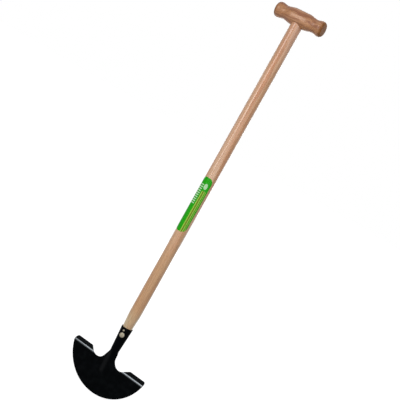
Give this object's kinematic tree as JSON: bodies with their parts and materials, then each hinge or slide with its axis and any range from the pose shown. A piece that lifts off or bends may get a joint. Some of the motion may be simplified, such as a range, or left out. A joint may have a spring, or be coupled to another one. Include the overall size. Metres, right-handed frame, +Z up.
{
  "type": "half moon edger",
  "caption": "Lawn edging iron: a pressed steel half moon blade with folded treads and a rolled socket, on a straight wooden shaft with a turned T grip.",
  "frame": {"origin": "lowest point of the cutting edge, on the axis of the shaft", "axes": "+Z up the shaft from the blade to the grip, +X along the blade and the grip, -Y the way the front of the blade faces"},
  "size_m": [0.2048, 0.0384, 0.9867],
  "materials": {
    "black_paint": "glossy black paint on pressed steel",
    "shaft_wood": "clear lacquered hardwood",
    "grip_wood": "clear lacquered turned hardwood",
    "bright_steel": "dull bright steel",
    "label_film": "glossy printed film"
  },
  "bodies": {
    "root": {"blade_head": "black_paint", "shaft": "shaft_wood", "t_grip": "grip_wood", "head_rivet": "bright_steel", "socket_nail": "bright_steel", "grip_nail": "bright_steel", "shaft_label": "label_film"}
  },
  "joints": []
}
